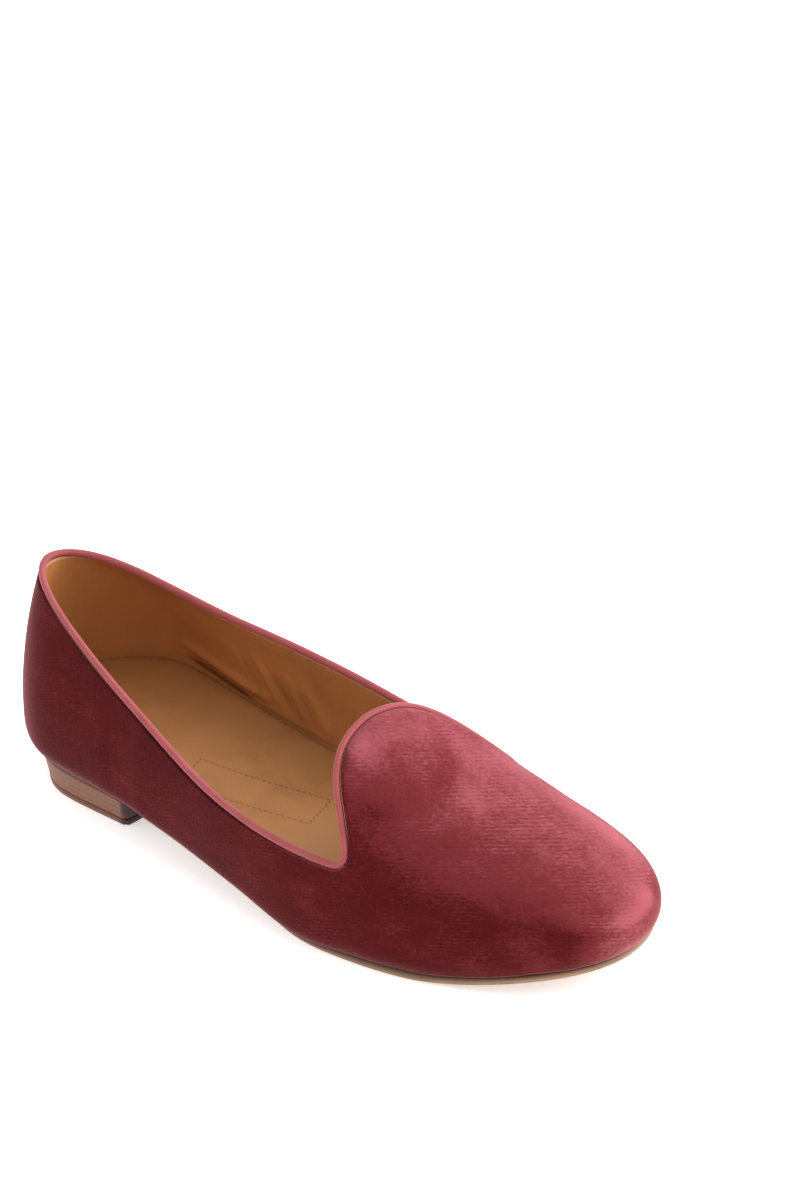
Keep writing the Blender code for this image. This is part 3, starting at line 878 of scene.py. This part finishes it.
def make_outsole(settings):
    """The leather sole with its burnished edge, dark at the waist and painted with shade along its top
    under the velvet.
    """
    lateral, medial = rim_of("outsole")
    bm = copy_of("outsole")
    creased(bm, SOLE_EDGE, 0.85)
    obj = subdivided(bm, settings.sole_smoothing, "leather_outsole")
    waist_burnish_and_shade = []
    for _, place, normal in points_and_normals(obj):
        side = 1 - soft_step(-normal.z, 0.5, 0.95)
        rim = at_x(medial if place.y > 0 else lateral, place.x).z
        behind = 1 - soft_step(place.x, *WAIST_DARK)
        # The burnished waist, partly painted shade, and painted shadow along the edge's top under the
        # velvet.
        waist_burnish_and_shade.append(0.9 * side * max(behind, EDGE_SHADE_SHARE * (1 - soft_step(rim - place.z, *EDGE_SHADE_DEPTHS))))
    set_attribute(obj, "waist_burnish_and_shade", waist_burnish_and_shade)
    material = sole_material(settings.sole_colour, settings.burnish_and_shade_colour)
    finish_piece(obj, "leather_outsole", "sole_leather", material, "outsole")


# The heel's joins: how far from a join its layers are cut, how deep the groove is and how wide, in
# millimetres, and how far back its dark breast reaches.
JOIN_CUTS = (-0.18, 0.0, 0.18)
JOIN_DEPTH = 0.06
JOIN_REACH = 0.13
BREAST_REACH = (3.0, 2.2)

# How far the heel and its top piece are drawn out towards each other and the sole, in metres.
HEEL_STRETCH = 0.12 * MM


def stretched_to(bm, low, high):
    """Moves the lowest and highest points to these heights, to close the gaps to the next pieces."""
    bottom = min(v.co.z for v in bm.verts)
    top = max(v.co.z for v in bm.verts)
    for vertex in bm.verts:
        share = (vertex.co.z - bottom) / (top - bottom)
        vertex.co.z = low + (high - low) * share


def make_heel(settings):
    """The stacked block: faint joins between its layers and a darker breast."""
    bm = copy_of("heel")
    low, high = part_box("heel")
    stretched_to(bm, low.z - HEEL_STRETCH, high.z + HEEL_STRETCH)
    creased(bm, HEEL_EDGE, 0.95)
    step = (high.z - low.z) / settings.heel_layers
    for i in range(1, settings.heel_layers):
        for offset in JOIN_CUTS:
            plane = Vector((0.0, 0.0, low.z + step * i + offset * MM))
            geom = list(bm.verts) + list(bm.edges) + list(bm.faces)
            bmesh.ops.bisect_plane(bm, geom=geom, plane_co=plane, plane_no=(0.0, 0.0, 1.0), dist=1e-6)
    obj = subdivided(bm, SMALL_STEPS, "stacked_heel")
    join = []
    for vertex, place, normal in points_and_normals(obj):
        share = (vertex.co.z - low.z) / step
        near = abs(share - round(share)) * step / MM
        inner = 0 < round(share) < settings.heel_layers
        groove = math.exp(-((near / JOIN_REACH) ** 2)) if inner else 0.0
        vertex.co -= Vector((normal.x, normal.y, 0.0)) * groove * JOIN_DEPTH * MM
        join.append(groove)
    set_attribute(obj, "join", join)
    paint_breast(obj, high.x)
    material = heel_material("stacked_heel_leather", settings.heel_colour, settings.breast_colour)
    finish_piece(obj, "stacked_heel", "heel_stack", material, "heel")


def paint_breast(obj, front):
    """Marks the breast, the heel's face towards the toe, for the material to darken."""
    back, edge = (front / MM - reach for reach in BREAST_REACH)
    shares = [soft_step(place.x, back, edge) for _, place, _ in points_and_normals(obj)]
    set_attribute(obj, "breast", shares)


def make_lift(settings):
    """The heel's top piece."""
    bm = copy_of("heel_lift")
    low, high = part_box("heel_lift")
    stretched_to(bm, low.z, high.z + HEEL_STRETCH)
    creased(bm, HEEL_EDGE, 0.85)
    obj = subdivided(bm, SMALL_STEPS, "rubber_lift")
    paint_breast(obj, high.x)
    material = heel_material("rubber_top_piece", settings.lift_colour, settings.breast_colour)
    finish_piece(obj, "rubber_lift", "top_piece", material, "heel_lift")


# The stage


def make_floor(settings):
    """A wide pale floor that glows a little, so that only a faint shadow shows on it."""
    bm = bmesh.new()
    bmesh.ops.create_grid(bm, x_segments=1, y_segments=1, size=settings.floor_reach)
    mesh = bpy.data.meshes.new("floor")
    bm.to_mesh(mesh)
    bm.free()
    floor = bpy.data.objects.new("floor", mesh)
    bpy.context.scene.collection.objects.link(floor)
    material = Nodes("pale_floor").finish(
        settings.floor_colour[:],
        0.9,
        None,
        Specular_IOR_Level=0.1,
        Emission_Color=(1.0, 1.0, 1.0, 1.0),
        Emission_Strength=settings.floor_glow,
    )
    mesh.materials.append(material)


def make_light(name, energy, size, place, target):
    light = bpy.data.lights.new(name, "AREA")
    light.energy = energy
    light.shape = "SQUARE"
    light.size = size
    obj = bpy.data.objects.new(name, light)
    obj.location = place
    obj.rotation_euler = (Vector(target) - Vector(place)).to_track_quat("-Z", "Y").to_euler()
    bpy.context.scene.collection.objects.link(obj)


# The lights: each one's size and place, and what it points at, in metres.
KEY_SIZE, KEY_PLACE, KEY_TARGET = 1.5, (0.75, 1.05, 1.35), (0.02, 0.0, 0.02)
RIM_SIZE, RIM_PLACE, RIM_TARGET = 0.7, (0.95, 1.35, 0.42), (0.06, 0.0, 0.03)

# The camera's right, up and back directions and its place, found by fitting the shoe to the photo.
CAMERA_RIGHT = (0.7201, 0.6925, -0.0433)
CAMERA_UP = (-0.3062, 0.3731, 0.8758)
CAMERA_BACK = (0.6227, -0.6174, 0.4807)
CAMERA_PLACE = (0.937740, -0.891537, 0.799984)


def make_camera(settings):
    """The camera in the photo's place."""
    data = bpy.data.cameras.new("camera")
    data.lens = settings.lens
    data.sensor_width = 36.0
    data.sensor_fit = "AUTO"
    data.clip_start = 0.05
    data.clip_end = 50.0
    camera = bpy.data.objects.new("camera", data)
    turn = Matrix((CAMERA_RIGHT, CAMERA_UP, CAMERA_BACK)).transposed()
    camera.matrix_world = Matrix.Translation(CAMERA_PLACE) @ turn.to_quaternion().to_matrix().to_4x4()
    bpy.context.scene.collection.objects.link(camera)
    bpy.context.scene.camera = camera


def make_stage(settings):
    """The floor, two softboxes, an even white room and the camera."""
    scene = bpy.context.scene
    scene.view_settings.view_transform = "Standard"
    make_floor(settings)
    make_light("key_softbox", settings.key_power, KEY_SIZE, KEY_PLACE, KEY_TARGET)
    make_light("rim_softbox", settings.rim_power, RIM_SIZE, RIM_PLACE, RIM_TARGET)
    world = bpy.data.worlds.new("white_room")
    world.use_nodes = True
    background = world.node_tree.nodes["Background"]
    background.inputs["Color"].default_value = (1.0, 0.99, 0.985, 1.0)
    background.inputs["Strength"].default_value = settings.room_light
    scene.world = world
    make_camera(settings)


# Settings, operators and panel


def colour_property(name, description, default):
    return FloatVectorProperty(
        name=name, description=description, subtype="COLOR", size=3, min=0.0, max=1.0, default=default
    )


def size_property(name, description, default, low, high):
    return FloatProperty(
        name=name,
        description=description,
        subtype="DISTANCE",
        unit="LENGTH",
        min=low,
        max=high,
        default=default,
    )


def steps_property(name):
    return IntProperty(name=name, description="How often each face is split", min=0, max=3, default=2)


def power_property(name, description, default):
    return FloatProperty(name=name, description=description, unit="POWER", min=0.0, default=default)


def strength_property(name, description, default):
    return FloatProperty(name=name, description=description, min=0.0, default=default)


class LoaferUpperSettings(bpy.types.PropertyGroup):
    """Sizes and colours of the velvet, its lining and the binding."""

    velvet_colour: colour_property("Velvet", "Colour of the velvet's pile", (0.066, 0.0050, 0.0060))
    # The brushed pile's colour, which also colours the painted light and sheen on the vamp.
    brushed_and_lit_colour: colour_property("Brushed velvet", "Colour of the brushed pile", (0.280, 0.067, 0.083))
    sheen_colour: colour_property("Sheen", "Colour of the velvet's sheen", (1.0, 0.44, 0.47))
    lining_colour: colour_property("Lining", "Colour of the lining leather", (0.400, 0.158, 0.048))
    # The colour of the painted shade in the lining's folds and along its crease.
    shade_and_line_colour: colour_property("Folds", "Colour of the leather's folds", (0.060, 0.020, 0.006))
    binding_colour: colour_property("Binding", "Colour of the binding tape", (0.305, 0.058, 0.064))
    # The seam's colour, which also stands for the painted shade where the roll sits on the upper.
    seam_shade_colour: colour_property("Seam", "Colour of the binding's seam", (0.110, 0.010, 0.016))
    velvet_thickness: size_property("Velvet thickness", "Thickness of the velvet", 0.0010, 0.0004, 0.0012)
    lining_thickness: size_property("Lining thickness", "Thickness of the lining", 0.0007, 0.0003, 0.0008)
    smoothing: steps_property("Smoothing")


class LoaferBottomSettings(bpy.types.PropertyGroup):
    """Colours and steps of the insole, the sole and the heel."""

    sock_colour: colour_property("Sock", "Colour of the sock leather", (0.335, 0.149, 0.049))
    # The colour of the painted shade in the folds and along the sock's edge, and of the panel's line.
    shade_and_line_colour: colour_property("Folds", "Colour of the leather's folds", (0.060, 0.020, 0.006))
    sole_colour: colour_property("Sole", "Colour of the outsole's leather", (0.270, 0.145, 0.070))
    # The burnished waist's colour, which also colours the painted shade along the sole edge's top.
    burnish_and_shade_colour: colour_property("Waist", "Colour of the burnished waist", (0.030, 0.012, 0.008))
    heel_colour: colour_property("Heel", "Colour of the stacked heel", (0.185, 0.067, 0.028))
    breast_colour: colour_property("Breast", "Colour of the heel's breast", (0.030, 0.006, 0.006))
    lift_colour: colour_property("Top piece", "Colour of the heel's top piece", (0.170, 0.061, 0.026))
    heel_layers: IntProperty(name="Layers", description="Layers in the heel", min=1, max=8, default=4)
    insole_smoothing: steps_property("Insole smoothing")
    sole_smoothing: steps_property("Sole smoothing")


class LoaferStageSettings(bpy.types.PropertyGroup):
    """The floor, lights and camera."""

    floor_colour: colour_property("Floor", "Colour of the floor", (0.93, 0.925, 0.925))
    floor_reach: size_property("Floor reach", "Half the floor's side", 6.0, 0.5, 20.0)
    floor_glow: strength_property("Floor glow", "How strongly the floor glows", 0.45)
    key_power: power_property("Key", "Power of the main softbox", 26.0)
    rim_power: power_property("Rim", "Power of the softbox behind the vamp", 20.0)
    room_light: strength_property("Room", "Strength of the light from all round", 1.2)
    lens: FloatProperty(name="Lens", description="Focal length in millimetres", min=10.0, default=143.6)


class LOAFER_OT_velvet(bpy.types.Operator):
    """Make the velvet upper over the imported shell"""

    bl_idname = "loafer.velvet"
    bl_label = "Velvet upper"

    def execute(self, context):
        make_velvet(context.scene.loafer_upper)
        return {"FINISHED"}


class LOAFER_OT_lining(bpy.types.Operator):
    """Make the leather lining inside the velvet"""

    bl_idname = "loafer.lining"
    bl_label = "Leather lining"

    def execute(self, context):
        make_lining(context.scene.loafer_upper)
        return {"FINISHED"}


class LOAFER_OT_binding(bpy.types.Operator):
    """Make the rolled binding round the collar"""

    bl_idname = "loafer.binding"
    bl_label = "Collar binding"

    def execute(self, context):
        make_binding(context.scene.loafer_upper)
        return {"FINISHED"}


class LOAFER_OT_insole(bpy.types.Operator):
    """Make the padded insole with its sock"""

    bl_idname = "loafer.insole"
    bl_label = "Insole"

    def execute(self, context):
        make_insole(context.scene.loafer_bottom)
        return {"FINISHED"}


class LOAFER_OT_sole(bpy.types.Operator):
    """Make the leather outsole, the stacked heel and its top piece"""

    bl_idname = "loafer.sole"
    bl_label = "Outsole and heel"

    def execute(self, context):
        make_outsole(context.scene.loafer_bottom)
        make_heel(context.scene.loafer_bottom)
        make_lift(context.scene.loafer_bottom)
        return {"FINISHED"}


class LOAFER_OT_stage(bpy.types.Operator):
    """Set the floor, the soft lights and the camera"""

    bl_idname = "loafer.stage"
    bl_label = "Stage"

    def execute(self, context):
        make_stage(context.scene.loafer_stage)
        return {"FINISHED"}


class LOAFER_PT_panel(bpy.types.Panel):
    """The loafer's pieces, with their sizes and colours"""

    bl_idname = "LOAFER_PT_panel"
    bl_label = "Velvet Loafer"
    bl_space_type = "VIEW_3D"
    bl_region_type = "UI"
    bl_category = "Loafer"

    def draw(self, context):
        scene = context.scene
        for title, settings, operators in PANEL_GROUPS:
            box = self.layout.box()
            box.label(text=title)
            group = getattr(scene, settings)
            for name in group.__class__.__annotations__:
                box.prop(group, name)
            for operator in operators:
                box.operator(operator)


PANEL_GROUPS = (
    ("Upper", "loafer_upper", ("loafer.velvet", "loafer.lining", "loafer.binding")),
    ("Bottom", "loafer_bottom", ("loafer.insole", "loafer.sole")),
    ("Stage", "loafer_stage", ("loafer.stage",)),
)

CLASSES = (
    LoaferUpperSettings,
    LoaferBottomSettings,
    LoaferStageSettings,
    LOAFER_OT_velvet,
    LOAFER_OT_lining,
    LOAFER_OT_binding,
    LOAFER_OT_insole,
    LOAFER_OT_sole,
    LOAFER_OT_stage,
    LOAFER_PT_panel,
)


def register():
    for cls in CLASSES:
        bpy.utils.register_class(cls)
    bpy.types.Scene.loafer_upper = PointerProperty(type=LoaferUpperSettings)
    bpy.types.Scene.loafer_bottom = PointerProperty(type=LoaferBottomSettings)
    bpy.types.Scene.loafer_stage = PointerProperty(type=LoaferStageSettings)


def unregister():
    del bpy.types.Scene.loafer_stage
    del bpy.types.Scene.loafer_bottom
    del bpy.types.Scene.loafer_upper
    for cls in reversed(CLASSES):
        bpy.utils.unregister_class(cls)


def main():
    """Clears the startup objects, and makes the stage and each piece."""
    for obj in list(bpy.context.scene.objects):
        if obj.name in ("Cube", "Light", "Camera"):
            bpy.data.objects.remove(obj, do_unlink=True)
    register()
    bpy.ops.loafer.stage()
    bpy.ops.loafer.velvet()
    bpy.ops.loafer.lining()
    bpy.ops.loafer.binding()
    bpy.ops.loafer.insole()
    bpy.ops.loafer.sole()


if __name__ == "__main__":
    main()
